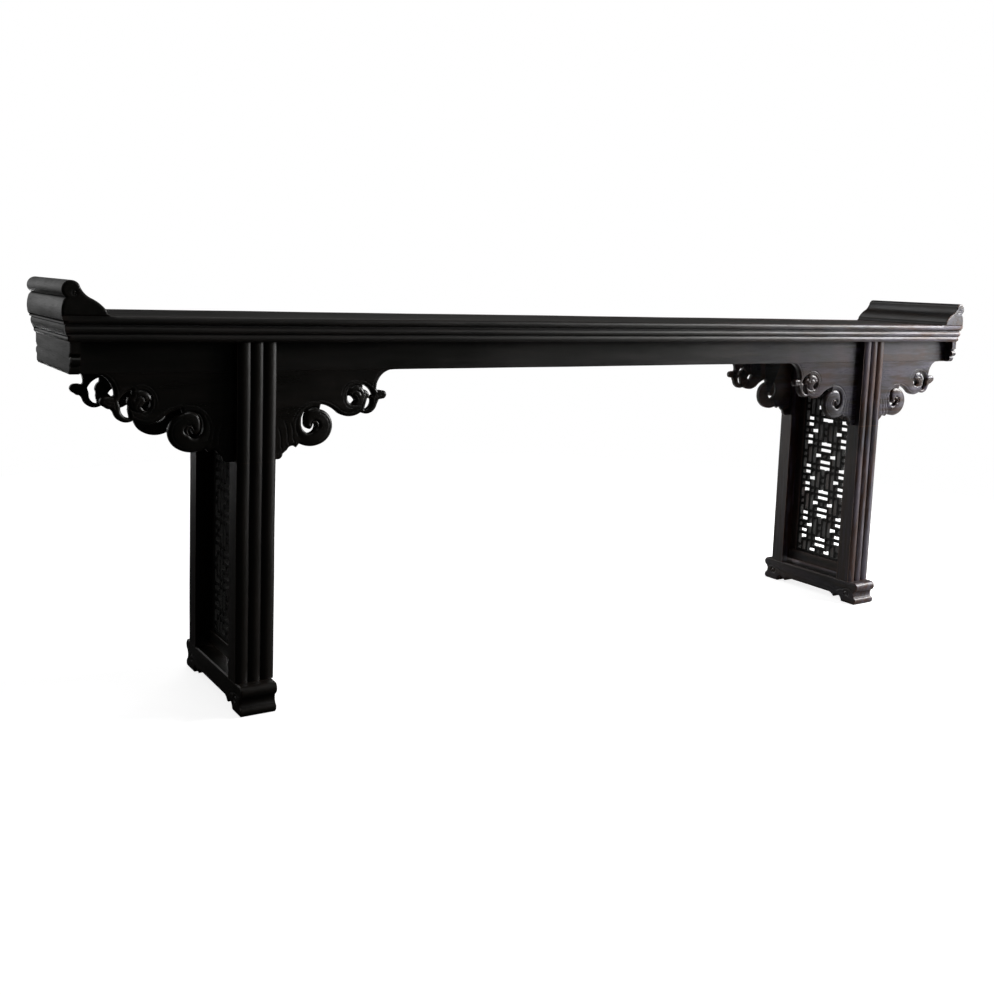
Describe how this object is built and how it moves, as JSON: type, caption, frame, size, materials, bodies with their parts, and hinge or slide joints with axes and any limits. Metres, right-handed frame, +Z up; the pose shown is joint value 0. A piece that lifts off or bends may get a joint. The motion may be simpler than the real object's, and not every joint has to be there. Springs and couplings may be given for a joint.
{
  "type": "altar table",
  "caption": "Long narrow table with everted flanged ends, reeded legs on sled runners, pierced cloud-scroll spandrels and lattice end panels.",
  "frame": {"origin": "centre of the footprint, on the floor the runners stand on", "axes": "+X along the table towards its right end, -Y out of the front, +Z up"},
  "size_m": [2.836, 0.4012, 0.9575],
  "materials": {
    "lacquered_elm": "dark lacquer, satin, lightly worn on the edges",
    "panel_elm": "dark lacquer, satin",
    "carved_elm": "dark lacquer, rubbed bright on the raised carving",
    "worn_elm": "dark lacquer, worn to brown at feet and corners",
    "lattice_elm": "dark lacquer, dull"
  },
  "bodies": {
    "root": {"top_panel": "panel_elm", "batten_1": "panel_elm", "batten_2": "panel_elm", "batten_3": "panel_elm", "batten_4": "panel_elm", "batten_5": "panel_elm", "front_top_rail": "lacquered_elm", "front_apron": "lacquered_elm", "front_outer_spandrels": "carved_elm", "front_inner_spandrels": "carved_elm", "rear_top_rail": "lacquered_elm", "rear_apron": "lacquered_elm", "rear_outer_spandrels": "carved_elm", "rear_inner_spandrels": "carved_elm", "left_flanged_end": "lacquered_elm", "left_end_apron": "lacquered_elm", "left_runner": "worn_elm", "left_upper_rail": "lacquered_elm", "left_lower_rail": "lacquered_elm", "left_lattice_uprights": "lattice_elm", "left_lattice_crossbars": "lattice_elm", "front_left_leg": "worn_elm", "front_left_lattice_stile": "lacquered_elm", "rear_left_leg": "worn_elm", "rear_left_lattice_stile": "lacquered_elm", "right_flanged_end": "lacquered_elm", "right_end_apron": "lacquered_elm", "right_runner": "worn_elm", "right_upper_rail": "lacquered_elm", "right_lower_rail": "lacquered_elm", "right_lattice_uprights": "lattice_elm", "right_lattice_crossbars": "lattice_elm", "front_right_leg": "worn_elm", "front_right_lattice_stile": "lacquered_elm", "rear_right_leg": "worn_elm", "rear_right_lattice_stile": "lacquered_elm"}
  },
  "joints": []
}
